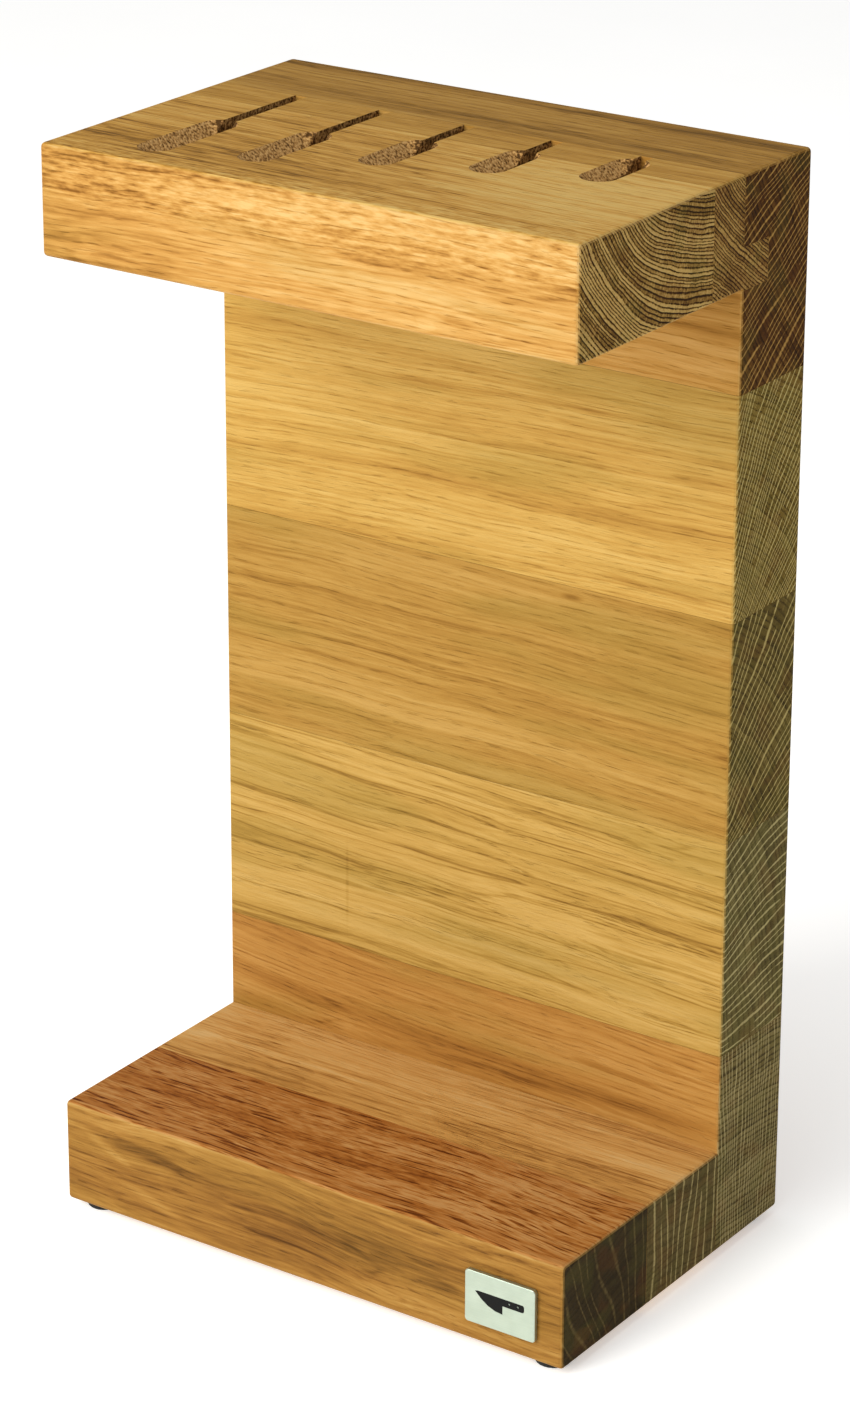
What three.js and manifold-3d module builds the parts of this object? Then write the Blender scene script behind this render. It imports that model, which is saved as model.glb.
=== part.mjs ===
// Upright solid-oak knife block, C-shaped in side view: a back panel with a base board and a
// slotted shelf board butted to its front. Knives drop blade-down through five slots in the
// shelf and hang in the open bay above the base.
// Millimetres. +Z up, +X to the right seen from the front, +Y from the front to the back.
// The origin is on the standing surface, under the middle of the block.

import * as THREE from 'three';
import { mergeVertices } from 'three/addons/utils/BufferGeometryUtils.js';
import { ConvexGeometry } from 'three/addons/geometries/ConvexGeometry.js';
import Module from 'manifold-3d';

const wasm = await Module();
wasm.setup();

// ---- Driving dimensions ----

// Wooden body
const WIDTH = 200;
const DEPTH = 134;
const WOOD_HEIGHT = 370;
const BOARD_THICKNESS = 37;      // shelf and base
const PANEL_THICKNESS = 40.5;    // upright back panel
const EASE = 1.6;                // radius of the eased outer edges
const GLUE_LINE = 0.1;           // thickness of a glued seam

// Staves, all with the grain along X
const PANEL_FIRST_STAVE = 72;    // height of the bottom panel stave
const PANEL_STAVE = 75.7;        // height of the panel staves above it, the top one trimmed
const PANEL_STAVE_COUNT = 5;
const SHELF_SEAM = 75.5;         // from the front to the seam between the two shelf staves
const BASE_SEAM = 50;            // from the front to the seam between the two base staves

// Bare-faced tongue along the back of the shelf, let into a dado across the panel
const TONGUE_HEIGHT = 14;
const TONGUE_LENGTH = 15;

// Knife slots: a slit right through the shelf, and a countersunk lead-in round its front part
const SLIT_WIDTH = 4.5;
const LEAD_WIDTH = 12.4;
const LEAD_DEPTH = 4;
const FIRST_SLOT_X = 33;         // from the left end to the middle of the first slot
const SLOT_PITCH = 32.9;
const SLOTS = [                  // from the front to the lead-in, and the length of the lead-in
  { front: 11, lead: 44.5 },
  { front: 19, lead: 41.5 },
  { front: 37, lead: 34 },
  { front: 49, lead: 30 },
  { front: 60, lead: 30 },
];

// Fluted dowels between the base and the panel
const DOWEL_RADIUS = 4;
const DOWEL_LENGTH = 50;
const DOWEL_IN_PANEL = 22;
const DOWEL_FLUTES = 12;
const DOWEL_FLUTE_DEPTH = 0.35;
const DOWEL_CHAMFER = 0.9;
const DOWEL_XS = [-62, 0, 62];
const HOLE_CLEARANCE = 0.15;
const HOLE_SPARE_DEPTH = 1;

// Rubber feet, each let into the underside and held by one screw
const FOOT_RADIUS = 6;
const FOOT_PROUD = 3;
const FOOT_INSET = 2;
const FOOT_ROUNDING = 0.8;
const FOOT_INSET_FROM_EDGES = 9;
const SCREW_SHANK_RADIUS = 1.5;
const SCREW_LENGTH = 14;
const SCREW_HEAD_RADIUS = 2.8;
const SCREW_HEAD_HEIGHT = 1.5;
const SCREW_HEAD_DEPTH = 0.6;    // from the standing surface up to the head
const SCREW_RECESS_DEPTH = 0.9;
const SCREW_RECESS_LENGTH = 3.2;
const SCREW_RECESS_WIDTH = 0.8;

// Metal badge on the front edge of the base, with an inlaid mark
const BADGE_WIDTH = 26.6;
const BADGE_HEIGHT = 18.6;
const BADGE_THICKNESS = 1.5;
const BADGE_CORNER = 1.2;
const BADGE_X = 77.3;             // from the middle of the block to the middle of the badge
const BADGE_ABOVE_UNDERSIDE = 17; // to the middle of the badge
const BADGE_EDGE_BREAK = 0.2;
const ADHESIVE_THICKNESS = 0.2;
const ADHESIVE_MARGIN = 1.2;
const MARK_DEPTH = 0.3;
const MARK_LENGTH = 18.6;        // of the knife outline, point to butt
const MARK_BLADE_HEIGHT = 5.6;
const MARK_HANDLE_HEIGHT = 2.6;
const MARK_BLADE_SHARE = 0.56;   // of the length that is blade
const MARK_RIVET_RADIUS = 0.45;
const FIT_GAP = 0.05;            // between pieces that touch face to face

// ---- Places worked out from the dimensions ----

const FRONT = -DEPTH / 2;
const BACK = DEPTH / 2;
const LEFT = -WIDTH / 2;
const RIGHT = WIDTH / 2;
const WOOD_BOTTOM = FOOT_PROUD;
const WOOD_TOP = WOOD_BOTTOM + WOOD_HEIGHT;
const PANEL_FACE = BACK - PANEL_THICKNESS;
const BASE_TOP = WOOD_BOTTOM + BOARD_THICKNESS;
const SHELF_UNDERSIDE = WOOD_TOP - BOARD_THICKNESS;
const OVERCUT = 5;               // how far a cutter runs past the wood
const ROUND_STEPS = 24;          // sides of a small round piece
const ARC_STEPS = 4;             // sides of an eased corner

// ---- Materials ----

function finish(color, roughness, metalness) {
  return new THREE.MeshStandardMaterial({ color, roughness, metalness });
}

const oakPanel = finish(0xc99a55, 0.6, 0);
const oakShelf = finish(0xd8a55c, 0.6, 0);
const oakBase = finish(0xa8743c, 0.6, 0);
const beech = finish(0xd9b98c, 0.7, 0);
const rubber = finish(0x151515, 0.85, 0);
const zincSteel = finish(0xb8b6ac, 0.4, 0.9);
const satinSteel = finish(0xb7bdb2, 0.35, 0.9);
const blackEnamel = finish(0x0c0c0d, 0.4, 0);
const adhesive = finish(0xdcdcd4, 0.8, 0);

// ---- Solids and meshes ----

function toSolid(geometry) {
  const bare = geometry.index ? geometry.toNonIndexed() : geometry.clone();
  bare.deleteAttribute('normal');
  bare.deleteAttribute('uv');
  const merged = mergeVertices(bare, 1e-4);
  return new wasm.Manifold(new wasm.Mesh({
    numProp: 3,
    vertProperties: new Float32Array(merged.attributes.position.array),
    triVerts: new Uint32Array(merged.index.array),
  }));
}

function toMesh(name, solid, material) {
  const { vertProperties, triVerts } = solid.getMesh();
  const geometry = new THREE.BufferGeometry();
  geometry.setAttribute('position', new THREE.BufferAttribute(vertProperties, 3));
  geometry.setIndex(new THREE.BufferAttribute(triVerts, 1));
  geometry.computeVertexNormals();
  const mesh = new THREE.Mesh(geometry, material);
  mesh.name = name;
  return mesh;
}

function box([x0, x1], [y0, y1], [z0, z1]) {
  const geometry = new THREE.BoxGeometry(x1 - x0, y1 - y0, z1 - z0);
  geometry.translate((x0 + x1) / 2, (y0 + y1) / 2, (z0 + z1) / 2);
  return toSolid(geometry);
}

// A cylinder along +Z from z0 to z1.
function post(x, y, radius, z0, z1) {
  const geometry = new THREE.CylinderGeometry(radius, radius, z1 - z0, ROUND_STEPS);
  geometry.rotateX(Math.PI / 2);
  geometry.translate(x, y, (z0 + z1) / 2);
  return toSolid(geometry);
}

function cutAll(solid, cutters) {
  return cutters.reduce((rest, cutter) => rest.subtract(cutter), solid);
}

const ACROSS = [LEFT - OVERCUT, RIGHT + OVERCUT];

// ---- Wooden body ----

// Rounds the corner of a square outline: the path comes in along `from` and leaves along `to`.
function easedCorner(path, x, y, from, to) {
  const startX = x - from[0] * EASE;
  const startY = y - from[1] * EASE;
  path.lineTo(startX, startY);
  const centreX = startX + to[0] * EASE;
  const centreY = startY + to[1] * EASE;
  const start = Math.atan2(startY - centreY, startX - centreX);
  for (let i = 1; i <= ARC_STEPS; i += 1) {
    const angle = start + (i / ARC_STEPS) * Math.PI / 2;
    path.lineTo(centreX + EASE * Math.cos(angle), centreY + EASE * Math.sin(angle));
  }
}

// Side view of the whole block, (Y, Z), anticlockwise from the underside at the back.
function sideView() {
  const right = [1, 0];
  const up = [0, 1];
  const left = [-1, 0];
  const down = [0, -1];
  const outline = new THREE.Shape();
  outline.moveTo((FRONT + BACK) / 2, WOOD_BOTTOM);
  easedCorner(outline, BACK, WOOD_BOTTOM, right, up);
  easedCorner(outline, BACK, WOOD_TOP, up, left);
  easedCorner(outline, FRONT, WOOD_TOP, left, down);
  easedCorner(outline, FRONT, SHELF_UNDERSIDE, down, right);
  outline.lineTo(PANEL_FACE, SHELF_UNDERSIDE);
  outline.lineTo(PANEL_FACE, BASE_TOP);
  easedCorner(outline, FRONT, BASE_TOP, left, down);
  easedCorner(outline, FRONT, WOOD_BOTTOM, down, right);
  outline.closePath();
  return outline;
}

// The whole block in one piece, with its outer edges eased, before it is cut into staves.
function wholeBlock() {
  const endEase = EASE * 0.9;    // just under the corner radius, so no corner shrinks to a point
  const geometry = new THREE.ExtrudeGeometry(sideView(), {
    depth: WIDTH - 2 * endEase,
    bevelEnabled: true,
    bevelThickness: endEase,
    bevelSize: endEase,
    bevelOffset: -endEase,
    bevelSegments: ARC_STEPS,
    steps: 1,
  });
  geometry.translate(0, 0, endEase - WIDTH / 2);
  const axes = new THREE.Matrix4().makeBasis(
    new THREE.Vector3(0, 1, 0),
    new THREE.Vector3(0, 0, 1),
    new THREE.Vector3(1, 0, 0),
  );
  geometry.applyMatrix4(axes);
  return toSolid(geometry);
}

const block = wholeBlock();
const HALF_SEAM = GLUE_LINE / 2;

// ---- Slots ----

// Points of a stadium: two half circles of one radius, centred on y0 and y1.
function stadium(x, y0, y1, radius, z) {
  const points = [];
  const half = ROUND_STEPS / 2;
  for (let i = 0; i <= half; i += 1) {
    const angle = (i / half) * Math.PI;
    const dx = radius * Math.cos(angle);
    const dy = radius * Math.sin(angle);
    points.push(new THREE.Vector3(x + dx, y1 + dy, z));
    points.push(new THREE.Vector3(x - dx, y0 - dy, z));
  }
  return points;
}

// One slot: the slit runs back to the panel, and the lead-in narrows at 45 degrees.
function slotCutter(slot, index) {
  const x = LEFT + FIRST_SLOT_X + index * SLOT_PITCH;
  const lip = LEAD_WIDTH / 2;
  const y0 = FRONT + slot.front + lip;
  const y1 = FRONT + slot.front + slot.lead - lip;
  const slitRadius = SLIT_WIDTH / 2;
  const above = WOOD_TOP + OVERCUT;
  const below = SHELF_UNDERSIDE - OVERCUT;
  const slitEnd = PANEL_FACE - HALF_SEAM;
  const slit = box([x - slitRadius, x + slitRadius], [y0, slitEnd + GLUE_LINE], [below, above])
    .add(post(x, y0, slitRadius, below, above));
  const lead = toSolid(new ConvexGeometry([
    ...stadium(x, y0, y1, lip + OVERCUT, above),
    ...stadium(x, y0, y1, lip - LEAD_DEPTH, WOOD_TOP - LEAD_DEPTH),
  ]));
  return slit.add(lead);
}

const slotCutters = SLOTS.map(slotCutter);

// ---- Shelf ----

function shelfStaves() {
  const heights = [SHELF_UNDERSIDE - OVERCUT, WOOD_TOP + OVERCUT];
  const seam = FRONT + SHELF_SEAM;
  const shoulder = PANEL_FACE - HALF_SEAM;
  const front = block.intersect(box(ACROSS, [FRONT - OVERCUT, seam - HALF_SEAM], heights));
  const back = block.intersect(box(ACROSS, [seam + HALF_SEAM, shoulder], heights));
  const tongue = block.intersect(box(
    ACROSS,
    [shoulder, PANEL_FACE + TONGUE_LENGTH],
    [SHELF_UNDERSIDE, SHELF_UNDERSIDE + TONGUE_HEIGHT],
  ));
  return [
    toMesh('shelf_stave_front', cutAll(front, slotCutters), oakShelf),
    toMesh('shelf_stave_back', cutAll(back, slotCutters).add(tongue), oakShelf),
  ];
}

// ---- Dowels ----

const DOWEL_Z = WOOD_BOTTOM + BOARD_THICKNESS / 2;
const DOWEL_BACK = PANEL_FACE + DOWEL_IN_PANEL;
const DOWEL_FRONT = DOWEL_BACK - DOWEL_LENGTH;

function dowelHole(x) {
  const radius = DOWEL_RADIUS + HOLE_CLEARANCE;
  const length = DOWEL_LENGTH + 2 * HOLE_SPARE_DEPTH;
  const geometry = new THREE.CylinderGeometry(radius, radius, length, ROUND_STEPS);
  geometry.translate(x, (DOWEL_FRONT + DOWEL_BACK) / 2, DOWEL_Z);
  return toSolid(geometry);
}

// A grooved rod with chamfered ends, its length along Y.
function dowel(x) {
  const section = new THREE.Shape();
  const steps = DOWEL_FLUTES * 3;
  for (let i = 0; i < steps; i += 1) {
    const angle = (i / steps) * 2 * Math.PI;
    const radius = DOWEL_RADIUS - (i % 3 === 0 ? DOWEL_FLUTE_DEPTH : 0);
    const point = [radius * Math.cos(angle), radius * Math.sin(angle)];
    if (i === 0) section.moveTo(...point);
    else section.lineTo(...point);
  }
  section.closePath();
  const rod = new THREE.ExtrudeGeometry(section, { depth: DOWEL_LENGTH, bevelEnabled: false });
  rod.rotateX(Math.PI / 2);
  rod.translate(x, DOWEL_BACK, DOWEL_Z);
  const half = DOWEL_LENGTH / 2;
  const ends = new THREE.LatheGeometry([
    new THREE.Vector2(0, -half),
    new THREE.Vector2(DOWEL_RADIUS - DOWEL_CHAMFER, -half),
    new THREE.Vector2(DOWEL_RADIUS + DOWEL_FLUTE_DEPTH, DOWEL_CHAMFER + DOWEL_FLUTE_DEPTH - half),
    new THREE.Vector2(DOWEL_RADIUS + DOWEL_FLUTE_DEPTH, half - DOWEL_CHAMFER - DOWEL_FLUTE_DEPTH),
    new THREE.Vector2(DOWEL_RADIUS - DOWEL_CHAMFER, half),
    new THREE.Vector2(0, half),
  ], ROUND_STEPS);
  ends.translate(x, (DOWEL_FRONT + DOWEL_BACK) / 2, DOWEL_Z);
  return toSolid(rod).intersect(toSolid(ends));
}

// ---- Feet ----

const FOOT_PLACES = {
  front_left: [LEFT + FOOT_INSET_FROM_EDGES, FRONT + FOOT_INSET_FROM_EDGES],
  front_right: [RIGHT - FOOT_INSET_FROM_EDGES, FRONT + FOOT_INSET_FROM_EDGES],
  back_left: [LEFT + FOOT_INSET_FROM_EDGES, BACK - FOOT_INSET_FROM_EDGES],
  back_right: [RIGHT - FOOT_INSET_FROM_EDGES, BACK - FOOT_INSET_FROM_EDGES],
};
const HEAD_TOP = SCREW_HEAD_DEPTH + SCREW_HEAD_HEIGHT;
const FOOT_TOP = FOOT_PROUD + FOOT_INSET;

// Recess for the foot with the pilot hole above it.
function footRecess(x, y) {
  const radius = FOOT_RADIUS + HOLE_CLEARANCE;
  const pilotTop = HEAD_TOP + SCREW_LENGTH + HOLE_SPARE_DEPTH;
  return post(x, y, radius, WOOD_BOTTOM - OVERCUT, FOOT_TOP + FIT_GAP)
    .add(post(x, y, SCREW_SHANK_RADIUS + HOLE_CLEARANCE, WOOD_BOTTOM, pilotTop));
}

// Round pad with a rounded lower rim, bored for the screw and counterbored for its head.
function foot(x, y) {
  const rim = FOOT_RADIUS - FOOT_ROUNDING;
  const profile = [new THREE.Vector2(0, 0)];
  for (let i = 0; i <= ARC_STEPS; i += 1) {
    const angle = (i / ARC_STEPS) * Math.PI / 2;
    profile.push(new THREE.Vector2(
      rim + FOOT_ROUNDING * Math.sin(angle),
      FOOT_ROUNDING * (1 - Math.cos(angle)),
    ));
  }
  profile.push(new THREE.Vector2(FOOT_RADIUS, FOOT_TOP));
  profile.push(new THREE.Vector2(0, FOOT_TOP));
  const pad = new THREE.LatheGeometry(profile, ROUND_STEPS);
  pad.rotateX(Math.PI / 2);
  pad.translate(x, y, 0);
  return toSolid(pad)
    .subtract(post(x, y, SCREW_SHANK_RADIUS + HOLE_CLEARANCE, 0, FOOT_TOP + OVERCUT))
    .subtract(post(x, y, SCREW_HEAD_RADIUS + HOLE_CLEARANCE, -OVERCUT, HEAD_TOP + FIT_GAP));
}

// Pan-head screw with a cross recess, its point upwards in the wood.
function footScrew(x, y) {
  const tip = HEAD_TOP + SCREW_LENGTH;
  const dome = SCREW_HEAD_HEIGHT * 0.4;
  const profile = [
    new THREE.Vector2(0, SCREW_HEAD_DEPTH),
    new THREE.Vector2(SCREW_HEAD_RADIUS * 0.75, SCREW_HEAD_DEPTH),
    new THREE.Vector2(SCREW_HEAD_RADIUS, SCREW_HEAD_DEPTH + dome),
    new THREE.Vector2(SCREW_HEAD_RADIUS, HEAD_TOP),
    new THREE.Vector2(SCREW_SHANK_RADIUS, HEAD_TOP),
    new THREE.Vector2(SCREW_SHANK_RADIUS, tip - 2 * SCREW_SHANK_RADIUS),
    new THREE.Vector2(0, tip),
  ];
  const body = new THREE.LatheGeometry(profile, ROUND_STEPS);
  body.rotateX(Math.PI / 2);
  body.translate(x, y, 0);
  const long = SCREW_RECESS_LENGTH / 2;
  const thin = SCREW_RECESS_WIDTH / 2;
  const depth = [SCREW_HEAD_DEPTH - OVERCUT, SCREW_HEAD_DEPTH + SCREW_RECESS_DEPTH];
  return toSolid(body)
    .subtract(box([x - long, x + long], [y - thin, y + thin], depth))
    .subtract(box([x - thin, x + thin], [y - long, y + long], depth));
}

// ---- Panel ----

// Seams between the panel staves, from the underside up, with the two ends past the wood.
function panelSeams() {
  const seams = [WOOD_BOTTOM - OVERCUT];
  for (let i = 0; i < PANEL_STAVE_COUNT - 1; i += 1) {
    seams.push(WOOD_BOTTOM + PANEL_FIRST_STAVE + i * PANEL_STAVE);
  }
  seams.push(WOOD_TOP + OVERCUT);
  return seams;
}

function panelStaves() {
  const depth = [PANEL_FACE + HALF_SEAM, BACK + OVERCUT];
  const dado = box(
    ACROSS,
    [PANEL_FACE - OVERCUT, PANEL_FACE + TONGUE_LENGTH + GLUE_LINE],
    [SHELF_UNDERSIDE - HALF_SEAM, SHELF_UNDERSIDE + TONGUE_HEIGHT + GLUE_LINE],
  );
  const holes = [
    ...DOWEL_XS.map(dowelHole),
    footRecess(...FOOT_PLACES.back_left),
    footRecess(...FOOT_PLACES.back_right),
  ];
  const seams = panelSeams();
  return seams.slice(1).map((top, i) => {
    const heights = [seams[i] + HALF_SEAM, top - HALF_SEAM];
    const stave = cutAll(block.intersect(box(ACROSS, depth, heights)), [dado, ...holes]);
    return toMesh(`panel_stave_${i + 1}`, stave, oakPanel);
  });
}

// ---- Base ----

function baseStaves() {
  const heights = [WOOD_BOTTOM - OVERCUT, BASE_TOP + OVERCUT];
  const seam = FRONT + BASE_SEAM;
  const front = block.intersect(box(ACROSS, [FRONT - OVERCUT, seam - HALF_SEAM], heights));
  const back = block.intersect(box(ACROSS, [seam + HALF_SEAM, PANEL_FACE - HALF_SEAM], heights));
  const recesses = [
    footRecess(...FOOT_PLACES.front_left),
    footRecess(...FOOT_PLACES.front_right),
  ];
  return [
    toMesh('base_stave_front', cutAll(front, recesses), oakBase),
    toMesh('base_stave_back', cutAll(back, DOWEL_XS.map(dowelHole)), oakBase),
  ];
}

// ---- Badge ----

const BADGE_Z = WOOD_BOTTOM + BADGE_ABOVE_UNDERSIDE;

function roundedRectangle(width, height, radius) {
  const x = width / 2;
  const y = height / 2;
  const shape = new THREE.Shape();
  shape.moveTo(x - radius, -y);
  shape.absarc(x - radius, radius - y, radius, -Math.PI / 2, 0);
  shape.absarc(x - radius, y - radius, radius, 0, Math.PI / 2);
  shape.absarc(radius - x, y - radius, radius, Math.PI / 2, Math.PI);
  shape.absarc(radius - x, radius - y, radius, Math.PI, 1.5 * Math.PI);
  return shape;
}

// Outline of a small chef's knife lying level, its point to the left, `grow` larger all round.
function knifeOutline(grow) {
  const point = -MARK_LENGTH / 2 - grow;
  const butt = MARK_LENGTH / 2 + grow;
  const heel = MARK_LENGTH * (MARK_BLADE_SHARE - 0.5) + grow;
  const spine = MARK_BLADE_HEIGHT / 2 + grow;
  const edge = -MARK_BLADE_HEIGHT / 2 - grow;
  const under = MARK_BLADE_HEIGHT / 2 - MARK_HANDLE_HEIGHT - grow;
  const round = MARK_HANDLE_HEIGHT / 3;
  const shape = new THREE.Shape();
  shape.moveTo(point, spine - 0.3);
  shape.quadraticCurveTo(point / 2, edge, heel, edge);
  shape.lineTo(heel, under);
  shape.lineTo(butt - round, under);
  shape.quadraticCurveTo(butt, under, butt, under + round);
  shape.lineTo(butt, spine - round);
  shape.quadraticCurveTo(butt, spine, butt - round, spine);
  shape.lineTo(point + 1, spine);
  shape.closePath();
  return shape;
}

// The same outline with two rivet holes through its handle.
function rivetedKnife() {
  const shape = knifeOutline(0);
  const handleStart = MARK_LENGTH * (MARK_BLADE_SHARE - 0.5);
  const handleLength = MARK_LENGTH / 2 - handleStart;
  const middle = (MARK_BLADE_HEIGHT - MARK_HANDLE_HEIGHT) / 2;
  for (const share of [0.3, 0.7]) {
    const hole = new THREE.Path();
    hole.absarc(handleStart + share * handleLength, middle, MARK_RIVET_RADIUS, 0, 2 * Math.PI);
    shape.holes.push(hole);
  }
  return shape;
}

// Turns an extrusion to face the front, with its face `proud` millimetres before the wood.
function onFront(shape, thickness, proud, edgeBreak) {
  const options = { depth: thickness, bevelEnabled: false, curveSegments: 4 };
  if (edgeBreak > 0) {
    options.depth = thickness - edgeBreak;
    options.bevelEnabled = true;
    options.bevelThickness = edgeBreak;
    options.bevelSize = edgeBreak;
    options.bevelOffset = -edgeBreak;
    options.bevelSegments = 1;
  }
  const geometry = new THREE.ExtrudeGeometry(shape, options);
  geometry.rotateX(Math.PI / 2);
  geometry.translate(BADGE_X, FRONT - proud + thickness, BADGE_Z);
  return toSolid(geometry);
}

function badgePieces() {
  const filmFace = FIT_GAP + ADHESIVE_THICKNESS;
  const plateFace = filmFace + FIT_GAP + BADGE_THICKNESS;
  const outline = roundedRectangle(BADGE_WIDTH, BADGE_HEIGHT, BADGE_CORNER);
  const filmOutline = roundedRectangle(
    BADGE_WIDTH - 2 * ADHESIVE_MARGIN,
    BADGE_HEIGHT - 2 * ADHESIVE_MARGIN,
    BADGE_CORNER,
  );
  const trim = box(
    [BADGE_X - BADGE_WIDTH, BADGE_X + BADGE_WIDTH],
    [FRONT - plateFace, FRONT - filmFace - FIT_GAP],
    [BADGE_Z - BADGE_HEIGHT, BADGE_Z + BADGE_HEIGHT],
  );
  const plate = onFront(outline, BADGE_THICKNESS, plateFace, BADGE_EDGE_BREAK)
    .intersect(trim)
    .subtract(onFront(knifeOutline(FIT_GAP), MARK_DEPTH + 1, plateFace + 1, 0));
  const mark = onFront(rivetedKnife(), MARK_DEPTH - FIT_GAP, plateFace, 0);
  const film = onFront(filmOutline, ADHESIVE_THICKNESS, filmFace, 0);
  return [
    toMesh('badge_plate', plate, satinSteel),
    toMesh('badge_mark', mark, blackEnamel),
    toMesh('badge_adhesive', film, adhesive),
  ];
}

// ---- Assembly ----

const knifeBlock = new THREE.Group();
knifeBlock.name = 'knife_block';

const panel = new THREE.Group();
panel.add(...panelStaves());

const shelf = new THREE.Group();
shelf.add(...shelfStaves());

const base = new THREE.Group();
base.add(...baseStaves());
DOWEL_XS.forEach((x, i) => base.add(toMesh(`base_dowel_${i + 1}`, dowel(x), beech)));
for (const [place, [x, y]] of Object.entries(FOOT_PLACES)) {
  base.add(toMesh(`foot_${place}`, foot(x, y), rubber));
  base.add(toMesh(`foot_screw_${place}`, footScrew(x, y), zincSteel));
}
base.add(...badgePieces());

knifeBlock.add(panel, shelf, base);

export default knifeBlock;
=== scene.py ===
# Looks of the upright solid-oak knife block: procedural oak for each stave, a satin steel badge,
# rubber feet, and a plain pale studio. Metres, in the block's frame; patterns work in millimetres.

import math

import bmesh
import bpy
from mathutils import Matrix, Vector


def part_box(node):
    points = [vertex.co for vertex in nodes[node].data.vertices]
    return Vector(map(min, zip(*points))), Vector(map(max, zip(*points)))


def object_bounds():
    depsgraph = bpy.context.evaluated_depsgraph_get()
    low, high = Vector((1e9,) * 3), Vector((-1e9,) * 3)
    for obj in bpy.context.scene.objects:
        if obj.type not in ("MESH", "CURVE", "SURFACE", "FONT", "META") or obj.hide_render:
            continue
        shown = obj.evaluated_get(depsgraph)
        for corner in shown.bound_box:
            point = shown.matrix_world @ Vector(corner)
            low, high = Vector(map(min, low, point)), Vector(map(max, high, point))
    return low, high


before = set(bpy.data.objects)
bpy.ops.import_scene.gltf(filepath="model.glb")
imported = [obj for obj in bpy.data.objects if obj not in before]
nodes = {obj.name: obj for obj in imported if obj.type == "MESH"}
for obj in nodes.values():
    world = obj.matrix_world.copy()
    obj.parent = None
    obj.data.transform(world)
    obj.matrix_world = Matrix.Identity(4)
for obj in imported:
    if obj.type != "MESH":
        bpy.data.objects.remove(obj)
cad_low, cad_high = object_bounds()

MM = 1000.0                      # millimetres in a metre

# ---- Camera and studio ----

CAMERA_AZIMUTH = 35.03           # degrees, 0 looks along +Y
CAMERA_ELEVATION = 20.35
CAMERA_DISTANCE = 1.4595         # from the middle of the block, along the line of sight
CAMERA_ASIDE = -0.0129           # beside and above that line
CAMERA_ABOVE = 0.0423
CAMERA_LENS = 113.08             # mm, as is the sensor's width
CAMERA_SENSOR = 36.0
CAMERA_SHIFT = (0.03, -0.10)

FLOOR_HALF_SIZE = 8.0
FLOOR_GRID = 16
FLOOR_GLOW = 0.40                # a light table's faint glow, which keeps the floor pale in shade
WORLD_LIGHT = 0.42

LIGHTS = [
    # name, azimuth, elevation, distance, size, power, colour
    ("key", -18, 24, 2.2, 1.4, 56, (1.0, 0.98, 0.94)),
    ("overhead", -10, 68, 2.2, 1.4, 15, (1.0, 0.99, 0.97)),
]


# ---- Node formulas ----

SEED_STEPS = (17.31, 5.77)       # how far each seed moves a noise along its first two directions
CHANCE_STEP = 3.7
MIX_INPUTS, MIX_RESULT = (0, 6, 7), 2    # the factor and colour sockets of a Mix node


class Value:
    """A socket in a node tree that takes part in ordinary arithmetic."""

    def __init__(self, graph, socket):
        self.graph = graph
        self.socket = socket

    def __add__(self, other):
        return self.graph.math("ADD", self, other)

    def __radd__(self, other):
        return self.graph.math("ADD", other, self)

    def __sub__(self, other):
        return self.graph.math("SUBTRACT", self, other)

    def __rsub__(self, other):
        return self.graph.math("SUBTRACT", other, self)

    def __mul__(self, other):
        return self.graph.math("MULTIPLY", self, other)

    def __truediv__(self, other):
        return self.graph.math("DIVIDE", self, other)


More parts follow.
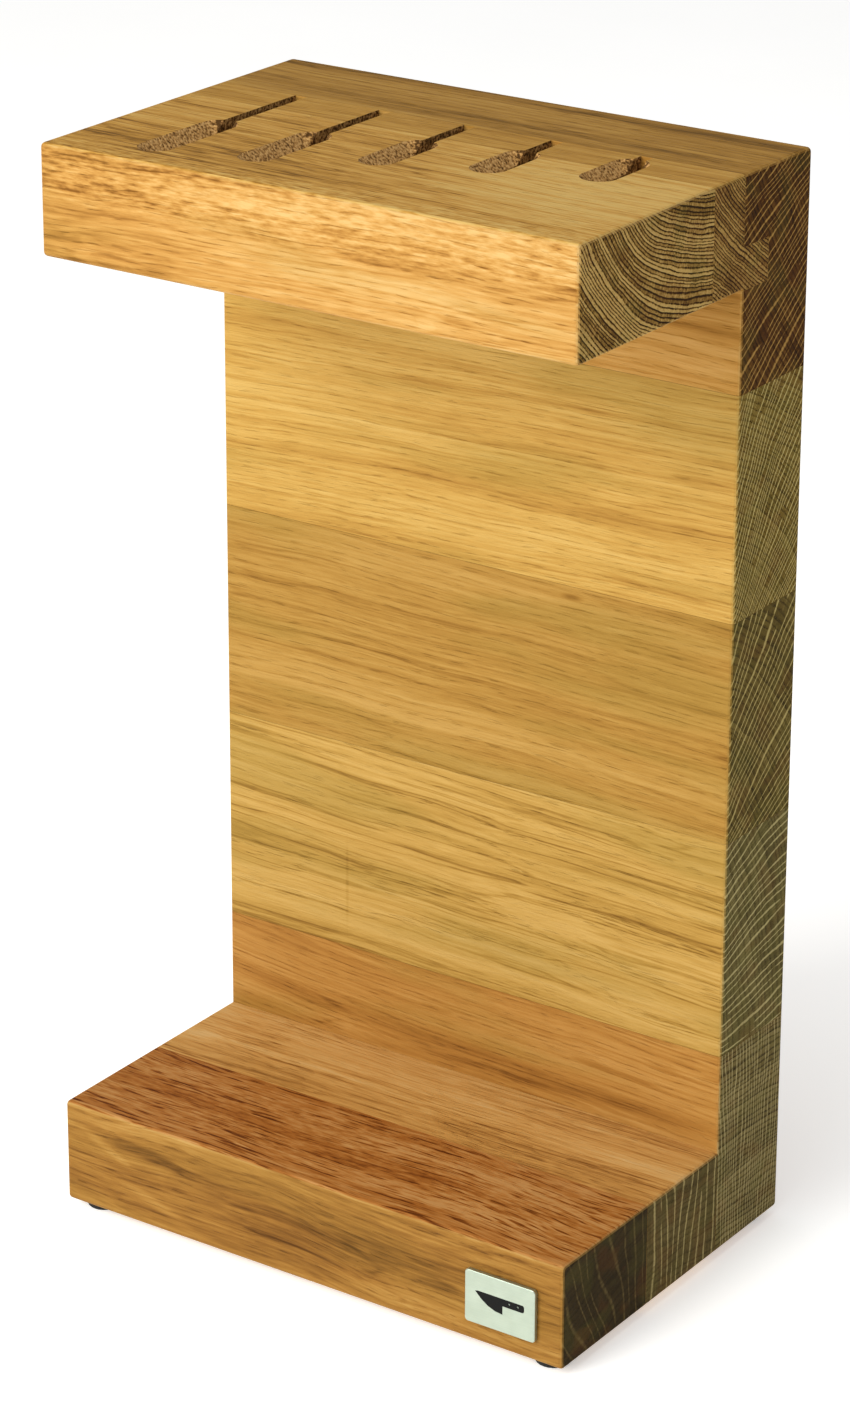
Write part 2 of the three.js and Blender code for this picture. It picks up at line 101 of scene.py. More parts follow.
class Graph:
    """One material's node tree, with a short call for each kind of node."""

    def __init__(self, name):
        self.material = bpy.data.materials.new(name)
        self.material.use_nodes = True
        self.tree = self.material.node_tree
        self.tree.nodes.clear()
        self.coordinates = self.node("TexCoord")

    def node(self, kind, **settings):
        made = self.tree.nodes.new("ShaderNode" + kind)
        for key, value in settings.items():
            setattr(made, key, value)
        return made

    def feed(self, socket, value):
        if isinstance(value, Value):
            self.tree.links.new(value.socket, socket)
        else:
            socket.default_value = value

    def math(self, operation, *values):
        made = self.node("Math", operation=operation)
        for socket, value in zip(made.inputs, values):
            self.feed(socket, value)
        return Value(self, made.outputs[0])

    def parts(self, output):
        """The x, y and z of one of the texture coordinate node's outputs."""
        made = self.node("SeparateXYZ")
        self.tree.links.new(self.coordinates.outputs[output], made.inputs[0])
        return [Value(self, socket) for socket in made.outputs]

    def place(self):
        """x, y and z on the block, in millimetres."""
        return [part * MM for part in self.parts("Object")]

    def vector(self, parts):
        made = self.node("CombineXYZ")
        for socket, value in zip(made.inputs, parts):
            self.feed(socket, value)
        return Value(self, made.outputs[0])

    def noise(self, parts, sizes, seed, detail):
        """Noise from 0 to 1 whose features are about sizes long in each direction."""
        scaled = [part / size for part, size in zip(parts, sizes)]
        for index, step in enumerate(SEED_STEPS):
            scaled[index] = scaled[index] + seed * step
        made = self.node("TexNoise", noise_dimensions="3D", normalize=True)
        self.feed(made.inputs["Vector"], self.vector(scaled))
        made.inputs["Scale"].default_value = 1.0
        made.inputs["Detail"].default_value = detail
        return Value(self, made.outputs[0])

    def chance(self, value, seed):
        """A random number from 0 to 1 for each whole value."""
        made = self.node("TexWhiteNoise", noise_dimensions="1D")
        self.feed(made.inputs["W"], value + seed * CHANCE_STEP)
        return Value(self, made.outputs["Value"])

    def rise(self, value, low, high):
        """0 below low, 1 above high, smooth between."""
        made = self.node("MapRange", interpolation_type="SMOOTHSTEP")
        self.feed(made.inputs["Value"], value)
        made.inputs["From Min"].default_value = low
        made.inputs["From Max"].default_value = high
        return Value(self, made.outputs[0])

    def fall(self, value, low, high):
        return 1.0 - self.rise(value, low, high)

    def line(self, value, core, edge):
        """1 along the middle of each whole step of value, 0 beyond edge from it."""
        away = self.math("ABSOLUTE", self.math("FRACT", value) - 0.5)
        return self.fall(away, core, edge)

    def palette(self, value, colours):
        """Colours spread evenly from 0 to 1, blended smoothly."""
        made = self.node("ValToRGB")
        ramp = made.color_ramp
        ramp.interpolation = "B_SPLINE"
        last = len(colours) - 1
        while len(ramp.elements) < len(colours):
            ramp.elements.new(0.5)
        for index, colour in enumerate(colours):
            ramp.elements[index].position = index / last
            ramp.elements[index].color = colour
        self.feed(made.inputs[0], value)
        return Value(self, made.outputs[0])

    def blend(self, factor, low, high):
        """The colour low where factor is 0, and high where it is 1."""
        made = self.node("Mix", data_type="RGBA")
        for index, value in zip(MIX_INPUTS, (factor, low, high)):
            self.feed(made.inputs[index], value)
        return Value(self, made.outputs[MIX_RESULT])

    def surface(self, colour, roughness, height, depth, **others):
        """The finished shader, with a bump depth metres deep, and any other sockets by name."""
        shader = self.node("BsdfPrincipled")
        self.feed(shader.inputs["Base Color"], colour)
        self.feed(shader.inputs["Roughness"], roughness)
        for key, value in others.items():
            self.feed(shader.inputs[key.replace("_", " ")], value)
        bump = self.node("Bump")
        bump.inputs["Strength"].default_value = 1.0
        bump.inputs["Distance"].default_value = depth
        self.feed(bump.inputs["Height"], height)
        self.tree.links.new(bump.outputs[0], shader.inputs["Normal"])
        output = self.node("OutputMaterial")
        self.tree.links.new(shader.outputs[0], output.inputs[0])
        return self.material


def tint(code):
    """Linear colour from a hex sRGB code."""
    channels = [int(code[i:i + 2], 16) / 255 for i in (0, 2, 4)]
    linear = [c / 12.92 if c <= 0.04045 else ((c + 0.055) / 1.055) ** 2.4 for c in channels]
    return (*linear, 1.0)


def tints(*codes):
    return [tint(code) for code in codes]


# ---- Oak ----

OIL = (0.56, 0.53, 0.43)         # share of red, green and blue that oiled oak gives back

PATTERNS = {
    # Noises in each stave: sizes in mm, number added to the stave's seed, and detail. The sizes go
    # along the grain, round the rings and out from the pith, or along x, y and z.
    "drift_y": ((120, 60, 60), 0, 2),        # how the grain wanders across a stave
    "drift_z": ((120, 60, 60), 40, 2),       # and up and down it
    "ripple": ((30, 5, 5), 60, 2),
    "ring_width": ((400, 60, 7), 3, 1),
    "ray_stray": ((16, 4, 60), 7, 1),        # the two for rays are widened by their gap
    "ray_break": ((14, 1, 14), 8, 1),
    "beads": ((8, 3, 1.3), 9, 1),            # stretches of a ray between two vessels
    "pores": ((9, 0.42, 0.42), 11, 1),
    "flecks": ((13, 1.1, 1.1), 12, 2),
    "fibres": ((26, 0.7, 0.7), 13, 3),
    "dashes": ((16, 0.9, 6), 14, 2),         # ray ends, which show on top of a flat-sawn stave
    "gaps": ((9, 0.8, 1.2), 15, 1),          # paler wood between the vessels of a ring
    "streaks": ((120, 2.8, 2.8), 17, 3),
    "bands": ((300, 11, 11), 19, 2),
    "veins": ((420, 6, 6), 23, 2),
    "crossing": ((4.5, 1.1, 1.1), 27, 2),    # short pale flecks across the grain
    "torn": ((1.1, 0.9, 0.9), 31, 1),        # fibres torn by a cutter at an angle to the grain
    "moss": ((40, 12, 9), 33, 1),            # greenish and reddish places in the end grain
    "rust": ((40, 12, 9), 34, 1),
    "olive": ((110, 40, 20), 35, 2),         # greener places on the long faces
    "edge_wear_and_highlight": ((14, 10, 10), 37, 2),
}

# The two limits between which each feature fades in or out in its pattern
EARLY_WOOD = (0.12, 0.50)        # from the start of a ring
WIDE_RAY = (0.02, 0.15)          # from the middle of a ray, as a share of the rays' gap
FINE_RAY = (0.08, 0.30)
WIDE_UNBROKEN = (0.28, 0.42)
FINE_UNBROKEN = (0.40, 0.62)
FACE_RAYS = (0.62, 0.70)
PORES = (0.56, 0.72)
VEINS = (0.0, 0.03)
DASHES = (0.53, 0.66)
DASHED_BANDS = (-0.34, -0.02)
GAPS = (0.46, 0.62)
MARK_EDGE = (0.15, 1.0)          # shares of the way from a mark's middle to its rim
CROSSING_EDGE = (0.4, 1.0)
OLIVE_PLACES = (0.46, 0.66)
MOSS_PLACES = (0.50, 0.66)
RUST_PLACES = (0.52, 0.68)

# The same for which way a surface faces, by the parts of its normal, and for where it lies
UPWARD = (0.50, 0.90)
END_GRAIN = (0.74, 0.90)
EASED_EDGE = (0.80, 0.97)
SLOPE_LEAST, SLOPE_MOST = (0.30, 0.55), (0.82, 0.95)
LEAD_IN_BACK = (-0.60, -0.30)
CUT_X, CUT_Y = (86, 92), (-63, -59)   # mm, between the cuts and the outer faces

# How far and how strongly each feature acts
DRIFT, RIPPLE = 8, 0.9           # mm
RING_UNEVENNESS, RING_TONES, EARLY_DARKNESS = 3, 0.5, 0.8
RAY_STRAY, FINE_STRAY = 3, 1.7
FINE_RAY_GAP = 0.37              # gap of the fine rays as a share of the wide rays' gap
FINE_RAY_TONE = 0.14
BEAD_BASE, BEAD_CONTRAST = 0.30, 1.4
LATE_PORES, LATE_GAPS, GAP_MEAN = 0.35, 0.25, 0.35
FACE_TONE, END_TONE, TORN_TONE = 0.62, 0.42, 0.62
FIBRE_CONTRAST, END_FLECKS = 0.45, 0.25
CROSSING_MEAN = 0.45
TOP_MIDDLE, TOP_CONTRAST = 0.6, 1.2   # upward faces show their streaks more strongly
# Eased edges are painted paler, partly as rubbing by hands and partly as a painted highlight
WEAR_AND_HIGHLIGHT_BASE, EDGE_WEAR_AND_HIGHLIGHT = 0.3, 0.16
TORN_CONTRAST, CUT_END_SHADE, LEAD_IN_BACK_PAINTED_SHADE = 2.6, 0.25, 0.55
OLIVE, OLIVE_SHARE = "A28C42", 0.30
MOSS, RUST, PATCH_SHARE = "5C5A24", "6E3E1A", 0.14
# Colours of the torn cuts, kept unoiled and pale as painted light on the sloping lead-ins
TORN_AND_LIT = ("3A240E", "8E6838", "B88C52", "D0A86C")
ROUGHNESS = dict(base=0.55, fibre=0.25, pore=0.2, end=0.16, wear_and_highlight=0.12)
RELIEF = dict(fibre=0.4, pore=0.6, early=0.15, ray=0.1, torn=2)
RELIEF_DEPTH = 0.00025           # metres
GLOSS = 0.05

OAK = {
    # The growth rings circle round the pith (y, z), an axis along the stave that leans by so much
    # for each mm of x. Rays run out from it, and curl bends them. Wander is the share of the usual
    # drift of the grain, and olive that of the greenish places. Faces are the long-grain colours,
    # tops those of upward faces where they differ, and ends the end-grain colours, dark to light.
    # The numbers after face and end say how strongly each feature shows.
    # This stave's lightest face colour is raised as painted light in the shelf's shade on it
    "panel_stave_5": dict(
        seed=5, pith=(223, 457), lean=(0.02, 0.03), curl=0.0006, spacing=2.0, ray_gap=2.4,
        faces=("6A4412", "B8843C", "DAA454", "F0C27C"), ends=("140800", "4E300B", "7A4E19", "DEB268"),
        tops=("4E3408", "AC803A", "CC9C4E", "E2B86C"),
        face=dict(ring=0.10, ray=0.04, dash=0.05, pore=0.16, band=0.90, streak=0.60, fleck=0.34,
                  vein=0.16),
        end=dict(ring=0.26, ray=0.78, pore=0.45, band=0.40),
    ),
    "panel_stave_4": dict(
        seed=4, pith=(-30, 150), lean=(0.01, -0.02), curl=0.0010, spacing=1.9, ray_gap=1.8,
        faces=("83561E", "C8984C", "E2B866", "F2CE86"), ends=("2E240A", "7A6428", "AC9248", "F6E6A4"),
        face=dict(ring=0.10, ray=0.04, dash=0.05, pore=0.14, band=0.95, streak=0.66, fleck=0.32,
                  vein=0.18),
        end=dict(ring=0.22, ray=1.20, pore=0.85, band=0.35),
    ),
    "panel_stave_3": dict(
        seed=3, pith=(-29, 113), lean=(0.00, 0.02), curl=0.0012, spacing=2.6, ray_gap=2.7,
        faces=("744A18", "B2843E", "C99D52", "DCB46E"), ends=("20180A", "645426", "8E7A3C", "E6D494"),
        face=dict(ring=0.12, ray=0.04, dash=0.05, pore=0.18, band=0.85, streak=0.58, fleck=0.36,
                  vein=0.20),
        end=dict(ring=0.20, ray=0.92, pore=0.45, band=0.35),
    ),
    "panel_stave_2": dict(
        seed=2, pith=(-142, 65), lean=(0.01, 0.03), curl=0.0008, spacing=2.9, ray_gap=2.9,
        faces=("7A501E", "C69C4E", "DEB66A", "EECA86"), ends=("241E10", "6A5E34", "928654", "E4D8A4"),
        face=dict(ring=0.03, ray=0.04, dash=0.05, pore=0.20, band=0.90, streak=0.66, fleck=0.34,
                  vein=0.30),
        end=dict(ring=0.18, ray=0.90, pore=0.45, band=0.35),
    ),
    "panel_stave_1": dict(
        seed=1, pith=(42, -260), lean=(0.00, 0.05), curl=0.0, spacing=1.9, ray_gap=1.7,
        faces=("6C3E12", "B67E3E", "CE964E", "E4B26E"), ends=("241C10", "6E6036", "9C8C5A", "DCCEA0"),
        face=dict(ring=0.08, ray=0.04, dash=0.05, pore=0.16, band=0.80, streak=0.66, fleck=0.34,
                  vein=0.22),
        end=dict(ring=0.40, ray=0.85, pore=0.50, band=0.35),
    ),
    "shelf_stave_front": dict(
        seed=6, pith=(12, 415), lean=(0.02, -0.02), curl=0.0, spacing=1.25, ray_gap=1.8,
        faces=("84541E", "D0984E", "E8B66C", "F8D296"), ends=("1E0E02", "7C5822", "C0964C", "FAD68C"),
        tops=("6C4614", "D8A24C", "F2BE68", "FFDC90"),
        face=dict(ring=0.08, ray=0.12, dash=0.05, pore=0.26, band=0.65, streak=0.85, fleck=0.70,
                  vein=0.18),
        end=dict(ring=1.25, ray=0.16, pore=1.20, band=0.60, gap=0.62),
    ),
    "shelf_stave_back": dict(
        seed=7, pith=(113, 468), lean=(-0.01, 0.01), curl=0.0, spacing=1.1, ray_gap=1.8,
        faces=("7A4816", "BC883E", "D09E50", "E6B86E"), ends=("1E0E02", "744E20", "B28644", "E8C278"),
        tops=("5E3E0E", "C49242", "DEAC58", "F2C878"),
        face=dict(ring=0.10, ray=0.06, dash=0.05, pore=0.18, band=0.70, streak=0.70, fleck=0.35,
                  vein=0.16),
        end=dict(ring=1.05, ray=0.16, pore=1.10, band=0.60, gap=0.55),
    ),
    "base_stave_front": dict(
        seed=8, pith=(-2, -123), lean=(0.01, 0.02), curl=0.0, spacing=3.1, ray_gap=4.6,
        wander=2.2, olive=0.10,
        faces=("4E2E10", "A47236", "C4944C", "E0B878"), ends=("14100A", "3C3018", "504226", "8E7C52"),
        tops=("5A260A", "AC662C", "CC8844", "E6B278"),
        face=dict(ring=0.08, ray=0.03, dash=0.52, pore=0.16, band=0.60, streak=0.50, fleck=0.40,
                  vein=0.12),
        end=dict(ring=0.12, ray=0.34, pore=0.25, band=0.25),
    ),
    # Its face colours are set paler as painted light, where the shelf shades the back of the base
    "base_stave_back": dict(
        seed=9, pith=(5, -250), lean=(0.00, -0.02), curl=0.0, spacing=2.7, ray_gap=4.2,
        olive=0.06,
        faces=("844E20", "E8AC62", "FCCA84", "FFDCA8"), ends=("201A0C", "5E5028", "86764C", "D2C28E"),
        face=dict(ring=0.10, ray=0.10, dash=0.16, pore=0.20, band=0.75, streak=0.80, fleck=0.30,
                  vein=0.22),
        end=dict(ring=0.12, ray=0.60, pore=0.26, band=0.25),
    ),
}

MARKS = {
    # Darker places in the wood, and two painted ones on panel stave 5: middle, half sizes, rise per
    # mm along the grain, and depth of tone, which is negative where the wood is paler
    "panel_stave_5": [
        ((0, 58, 373), (500, 26, 5), 0.0, 0.08),
        # These two are painted light and painted shade on the panel just under the shelf: paler at
        # the right, darker at the left
        ((104, 26, 312), (110, 12, 30), 0.0, -0.06),
        ((-80, 26, 318), (130, 9, 30), 0.0, 0.22),
    ],
    "panel_stave_3": [((40, 26.5, 222.8), (6.0, 5.0, 1.7), 0.0, 0.42)],
    "panel_stave_2": [((-49.6, 26.5, 98), (1.0, 4.0, 22), 0.0, 0.14)],
    "panel_stave_1": [((40, 26.5, 46.0), (110, 12.0, 3.4), 0.045, 0.20)],
    "base_stave_back": [((0, -17, 40), (300, 26, 12), 0.0, 0.18)],
    "shelf_stave_front": [
        ((-40, -45, 374), (130, 60, 6), 0.0, 0.16),
        ((-104, -67, 352), (96, 9, 40), 0.0, 0.24),
        ((80, -20, 374), (80, 60, 6), 0.0, -0.22),
    ],
    "base_stave_front": [
        ((0, -70, 18), (400, 9, 60), 0.0, 0.17),
        ((-6, -67, 18), (44, 14, 13), -0.05, 0.17),
        ((36, -67, 24), (30, 14, 7), -0.10, 0.10),
        ((70, -30, 40), (50, 40, 12), 0.0, -0.08),
        ((-66, -67, 30), (42, 14, 3.2), -0.13, 0.22),
        ((-82, -67, 27), (15, 14, 2.6), -0.42, -0.22),
        ((-64, -67, 13), (20, 14, 3.0), -0.30, -0.18),
        ((40, -67, 8), (44, 14, 4.0), 0.02, -0.18),
        ((0, -66, 40), (300, 5, 3.0), 0.0, -0.14),
        ((-32, -59, 40), (5.0, 1.3, 4), 0.0, -0.34),
        ((-2, -39, 40), (6.0, 1.3, 4), 0.0, -0.34),
        ((-16, -25.5, 40), (5.0, 1.2, 4), 0.0, -0.30),
    ],
}

FLECKED = {
    # Where short pale flecks cross the grain: middle, half sizes, strength
    "shelf_stave_front": ((0, -67, 367), (300, 16, 16), 1.26),
    "base_stave_front": ((0, -40, 42), (300, 30, 12), 0.72),
}


def oiled(*codes):
    """The colours of an oiled wood from the hex codes of how it looks in full light."""
    return [(*[c * share for c, share in zip(colour, OIL)], 1.0) for colour in tints(*codes)]


def ellipsoid(g, place, centre, halves, slope=0.0):
    """0 at the centre of an ellipsoid that rises by slope along x, and 1 on its rim."""
    x, y, z = place
    along = (x - centre[0]) / halves[0]
    inward = (y - centre[1]) / halves[1]
    level = (z - centre[2] - (x - centre[0]) * slope) / halves[2]
    return g.math("SQRT", along * along + level * level + inward * inward)


def oak(name, wood):
    """A stave's oak, worked out from each point's place in its log."""
    g = Graph("oak_" + name)
    x, y, z = place = g.place()
    normal_x, normal_y, normal_z = g.parts("Normal")
    across_x, across_y, across_z = [g.math("ABSOLUTE", n) for n in (normal_x, normal_y, normal_z)]

    def pattern(kind, parts, widening=1):
        (along, around, out), number, detail = PATTERNS[kind]
        return g.noise(parts, (along, around * widening, out), wood["seed"] + number, detail)

    # Place in the log: along the grain, round the rings, and out from the pith
    drift = DRIFT * wood.get("wander", 1.0)
    drift_y = (pattern("drift_y", place) - 0.5) * drift
    drift_z = (pattern("drift_z", place) - 0.5) * drift
    ripple = (pattern("ripple", place) - 0.5) * RIPPLE
    pith_y, pith_z = wood["pith"]
    lean_y, lean_z = wood["lean"]
    out_y = y + drift_y + x * lean_y - pith_y
    out_z = z + drift_z + x * lean_z - pith_z
    radius = g.math("SQRT", out_y * out_y + out_z * out_z) + ripple
    low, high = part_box(name)
    middle = (low + high) / 2 * MM
    reach = math.hypot(middle.y - pith_y, middle.z - pith_z)
    angle = g.math("ARCTAN2", out_z, out_y)
    bend = (radius - reach) * (radius - reach) * wood["curl"]
    log = (x, angle * reach + bend + ripple, radius)

    # Growth rings, each with its own width and tone
    count = radius / wood["spacing"] + pattern("ring_width", log) * RING_UNEVENNESS
    ring_tone = g.chance(g.math("FLOOR", count), wood["seed"])
    early = g.fall(g.math("FRACT", count), *EARLY_WOOD)
    ring = ring_tone * RING_TONES - early * EARLY_DARKNESS

    # Rays: thin plates that stand radially, short along the grain
    ray_gap = wood["ray_gap"]
    ray_at = log[1] / ray_gap
    stray = pattern("ray_stray", log, ray_gap) * RAY_STRAY
    wide_ray = g.line(ray_at + stray, *WIDE_RAY)
    fine_ray = g.line(ray_at / FINE_RAY_GAP + stray * FINE_STRAY, *FINE_RAY)
    broken = pattern("ray_break", log, ray_gap)
    wide_ray = wide_ray * g.rise(broken, *WIDE_UNBROKEN)
    fine_ray = fine_ray * g.rise(broken, *FINE_UNBROKEN)
    end_ray = wide_ray + fine_ray * FINE_RAY_TONE
    end_ray = end_ray * (BEAD_BASE + pattern("beads", log) * BEAD_CONTRAST)
    face_ray = g.rise(broken, *FACE_RAYS)

    # Vessels, flecks, fibres, streaks, bands and veins of colour
    pore = g.rise(pattern("pores", log), *PORES) * (LATE_PORES + early * (1 - LATE_PORES))
    fleck = pattern("flecks", log) - 0.5
    fibre = pattern("fibres", log) - 0.5
    streak = pattern("streaks", log) - 0.5
    band = pattern("bands", log) - 0.5
    vein = g.fall(g.math("ABSOLUTE", pattern("veins", log) - 0.5), *VEINS)
    upward = g.rise(normal_z, *UPWARD)
    dash = g.rise(pattern("dashes", log), *DASHES) * upward
    dash = dash * g.rise(band + streak * 0.5, *DASHED_BANDS)

    face = wood["face"]
    tone = FACE_TONE + band * face["band"] + streak * face["streak"] + fleck * face["fleck"]
    tone = tone + fibre * FIBRE_CONTRAST + ring * face["ring"] - pore * face["pore"]
    tone = tone + face_ray * face["ray"] - vein * face["vein"] - dash * face["dash"]
    for centre, halves, slope, depth in MARKS.get(name, []):
        tone = tone - g.fall(ellipsoid(g, place, centre, halves, slope), *MARK_EDGE) * depth
    if name in FLECKED:
        centre, halves, strength = FLECKED[name]
        near = g.fall(ellipsoid(g, place, centre, halves), *CROSSING_EDGE)
        tone = tone + (pattern("crossing", place) - CROSSING_MEAN) * near * strength

    # Inside the block, away from its outer faces, a surface is a cut; elsewhere, where a surface
    # faces between two axes, it is an eased edge, painted paler: partly rubbed by hands and partly a
    # painted highlight where the rounded edge catches the light
    inside = g.fall(g.math("ABSOLUTE", x), *CUT_X) * g.rise(y, *CUT_Y)
    squareness = g.math("MAXIMUM", g.math("MAXIMUM", across_x, across_y), across_z)
    eased = g.fall(squareness, *EASED_EDGE) * (1.0 - inside)
    # Painted highlight, partly rubbing too, along the eased edges
    wear_and_highlight = eased * (WEAR_AND_HIGHLIGHT_BASE + pattern("edge_wear_and_highlight", place))
    tone = tone + wear_and_highlight * EDGE_WEAR_AND_HIGHLIGHT

    end = wood["end"]
    end_tone = END_TONE + band * end["band"] + fleck * END_FLECKS + ring * end["ring"]
    # The end grain's eased edges get the same painted highlight and rubbing
    end_tone = end_tone - pore * end["pore"] + end_ray * end["ray"] + wear_and_highlight * EDGE_WEAR_AND_HIGHLIGHT
    if "gap" in end:
        gap = g.rise(pattern("gaps", log), *GAPS) - GAP_MEAN
        end_tone = end_tone + gap * (LATE_GAPS + early * (1 - LATE_GAPS)) * end["gap"]

    # Cuts inside the block: torn where they slope, as in the knives' lead-ins, and painted paler
    # there as painted light on the sloping walls; darker as painted shade where these end at the
    # back; and a little darker and smoother on the slits' walls
    sloping = g.rise(normal_z, *SLOPE_LEAST) * g.fall(normal_z, *SLOPE_MOST) * inside
    torn = pattern("torn", place)
    endness = g.rise(across_x, *END_GRAIN)
    # Painted shade at the back of each lead-in, where it drops into the slit
    back = g.fall(normal_y, *LEAD_IN_BACK)
    torn_tone = TORN_TONE + (torn - 0.5) * TORN_CONTRAST
    torn_tone = torn_tone - endness * CUT_END_SHADE - back * LEAD_IN_BACK_PAINTED_SHADE

    # Colours of the long faces, the ends and the cuts
    long_colour = g.palette(tone, oiled(*wood["faces"]))
    olive = g.rise(pattern("olive", place), *OLIVE_PLACES) * wood.get("olive", OLIVE_SHARE)
    long_colour = g.blend(olive, long_colour, oiled(OLIVE)[0])
    if "tops" in wood:
        top_tone = (tone - TOP_MIDDLE) * TOP_CONTRAST + TOP_MIDDLE
        long_colour = g.blend(upward, long_colour, g.palette(top_tone, oiled(*wood["tops"])))
    end_colour = g.palette(end_tone, oiled(*wood["ends"]))
    moss = g.rise(pattern("moss", place), *MOSS_PLACES) * PATCH_SHARE
    rust = g.rise(pattern("rust", place), *RUST_PLACES) * PATCH_SHARE
    end_colour = g.blend(moss, end_colour, tint(MOSS))
    end_colour = g.blend(rust, end_colour, tint(RUST))
    # Painted light: the torn colours are paler than the oiled faces
    torn_and_lit_colour = g.palette(torn_tone, tints(*TORN_AND_LIT))
    colour = g.blend(endness, long_colour, end_colour)
    cut = g.math("MAXIMUM", sloping, endness * inside)
    colour = g.blend(cut, colour, torn_and_lit_colour)

    rough = ROUGHNESS
    roughness = rough["base"] + fibre * rough["fibre"] + pore * rough["pore"]
    roughness = roughness + endness * rough["end"] - wear_and_highlight * rough["wear_and_highlight"]
    height = fibre * RELIEF["fibre"] - pore * RELIEF["pore"] - early * RELIEF["early"]
    height = height + end_ray * RELIEF["ray"] + sloping * torn * RELIEF["torn"]
    return g.surface(colour, roughness, height, RELIEF_DEPTH, Specular_IOR_Level=GLOSS)


# ---- Metal, rubber and the rest ----

def satin_steel(name):
    g = Graph(name)
    place = g.place()
    brush = g.noise(place, (9, 0.08, 0.08), seed=2, detail=3)
    cloud = g.noise(place, (6, 6, 6), seed=3, detail=3)
    grit = g.noise(place, (0.2, 0.2, 0.2), seed=4, detail=2)
    colour = g.palette(brush * 0.5 + cloud * 0.5, tints("98A596", "B2BFAF", "C6D1C3"))
    roughness = 0.34 + brush * 0.14 + cloud * 0.1
    return g.surface(colour, roughness, brush + grit * 0.3, depth=0.00002, Metallic=1.0)


def black_enamel(name):
    g = Graph(name)
    place = g.place()
    cloud = g.noise(place, (1.5, 1.5, 1.5), seed=5, detail=3)
    colour = g.palette(cloud, tints("040505", "0A0B0B", "141615"))
    return g.surface(colour, 0.5 + cloud * 0.2, cloud, depth=0.00003, Specular_IOR_Level=0.12)


def rubber(name):
    g = Graph(name)
    place = g.place()
    grain = g.noise(place, (0.35, 0.35, 0.35), seed=6, detail=3)
    dust = g.noise(place, (5, 5, 5), seed=7, detail=4)
    colour = g.palette(grain * 0.4 + dust * 0.6, tints("0B0B0B", "161615", "2A2A28"))
    return g.surface(colour, 0.7 + dust * 0.2, grain, depth=0.0001, Specular_IOR_Level=0.3)


def zinc_screw(name):
    g = Graph(name)
    place = g.place()
    swirl = g.noise(place, (0.5, 0.5, 0.5), seed=8, detail=3)
    cloud = g.noise(place, (2, 2, 2), seed=9, detail=2)
    colour = g.palette(cloud, tints("8F8D84", "B6B4A9", "CFCDC2"))
    return g.surface(colour, 0.28 + swirl * 0.3, swirl, depth=0.00003, Metallic=1.0)


def beech(name):
    g = Graph(name)
    place = g.place()
    grain = g.noise(place, (0.7, 18, 0.7), seed=10, detail=3)
    fleck = g.rise(g.noise(place, (0.35, 1.6, 0.35), seed=11, detail=1), 0.62, 0.72)
    colour = g.palette(grain - fleck * 0.25, tints("A67A4E", "CFA878", "E2C296"))
    return g.surface(colour, 0.62 + grain * 0.1, grain - fleck * 0.4, depth=0.0002)


def adhesive(name):
    g = Graph(name)
    place = g.place()
    cells = g.noise(place, (0.3, 0.3, 0.3), seed=12, detail=3)
    colour = g.palette(cells, tints("B9B8AE", "D2D1C8", "E2E1D9"))
    return g.surface(colour, 0.75 + cells * 0.15, cells, depth=0.0001)


def floor_paint(name):
    g = Graph(name)
    place = g.place()
    mottle = g.noise(place, (160, 160, 160), seed=13, detail=4)
    colour = g.palette(mottle, tints("F4F4F3", "F8F8F7", "FBFBFA"))
    return g.surface(
        colour, 0.8 + mottle * 0.1, mottle, depth=0.0002,
        Specular_IOR_Level=0.1, Emission_Color=(1.0, 1.0, 1.0, 1.0), Emission_Strength=FLOOR_GLOW,
    )


def dress(node, material):
    """Gives a CAD node's object its material."""
    for slot in nodes[node].material_slots:
        slot.link = "OBJECT"
        slot.material = material


for stave, wood in OAK.items():
    dress(stave, oak(stave, wood))

shared = {
    "base_dowel": beech("beech_dowel"),
    "foot_screw": zinc_screw("zinc_plated_steel"),
    "foot": rubber("black_rubber"),
    "badge_plate": satin_steel("satin_steel"),
    "badge_mark": black_enamel("black_enamel"),
    "badge_adhesive": adhesive("adhesive_pad"),
}
for node in nodes:
    for start, material in shared.items():
        if node.startswith(start):
            dress(node, material)
            break


# ---- Studio ----

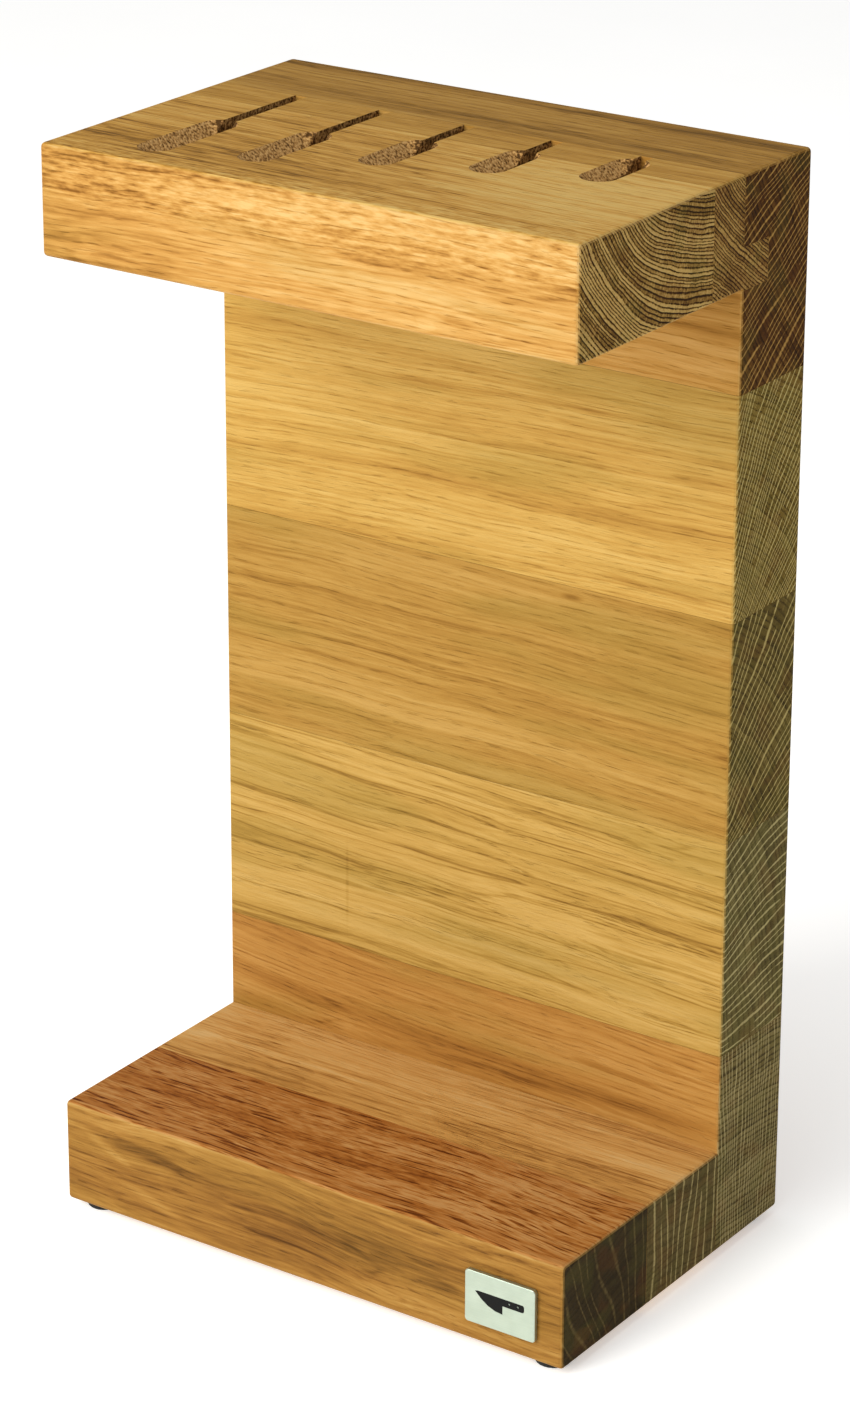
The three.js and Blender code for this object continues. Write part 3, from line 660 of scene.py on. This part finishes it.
def direction(azimuth, elevation):
    """Unit vector from the block towards a place in the studio."""
    a, e = math.radians(azimuth), math.radians(elevation)
    return Vector((math.sin(a) * math.cos(e), -math.cos(a) * math.cos(e), math.sin(e)))


def make_floor(height):
    mesh = bpy.data.meshes.new("studio_floor")
    shape = bmesh.new()
    bmesh.ops.create_grid(
        shape, x_segments=FLOOR_GRID, y_segments=FLOOR_GRID, size=FLOOR_HALF_SIZE,
    )
    shape.to_mesh(mesh)
    shape.free()
    floor = bpy.data.objects.new("studio_floor", mesh)
    floor.location.z = height
    floor.data.materials.append(floor_paint("pale_floor"))
    bpy.context.scene.collection.objects.link(floor)


def make_light(name, azimuth, elevation, distance, size, power, colour, target):
    light = bpy.data.lights.new(name, "AREA")
    light.shape = "SQUARE"
    light.size = size
    light.energy = power
    light.color = colour
    lamp = bpy.data.objects.new(name, light)
    towards = direction(azimuth, elevation)
    lamp.location = target + towards * distance
    lamp.rotation_euler = towards.to_track_quat("Z", "Y").to_euler()
    bpy.context.scene.collection.objects.link(lamp)


def make_world():
    world = bpy.data.worlds.new("studio_air")
    world.use_nodes = True
    background = world.node_tree.nodes["Background"]
    background.inputs["Color"].default_value = (1.0, 1.0, 1.0, 1.0)
    background.inputs["Strength"].default_value = WORLD_LIGHT
    bpy.context.scene.world = world


def make_camera(target):
    data = bpy.data.cameras.new("camera")
    data.lens = CAMERA_LENS
    data.sensor_width = CAMERA_SENSOR
    data.shift_x, data.shift_y = CAMERA_SHIFT
    camera = bpy.data.objects.new("camera", data)
    back = direction(CAMERA_AZIMUTH, CAMERA_ELEVATION)
    turn = back.to_track_quat("Z", "Y")
    aside, above = turn @ Vector((1, 0, 0)), turn @ Vector((0, 1, 0))
    camera.location = target + back * CAMERA_DISTANCE + aside * CAMERA_ASIDE + above * CAMERA_ABOVE
    camera.rotation_euler = turn.to_euler()
    bpy.context.scene.collection.objects.link(camera)
    bpy.context.scene.camera = camera


middle = (cad_low + cad_high) / 2
make_floor(cad_low.z)
for settings in LIGHTS:
    make_light(*settings, middle)
make_world()
make_camera(middle)
bpy.context.scene.view_settings.view_transform = "Standard"
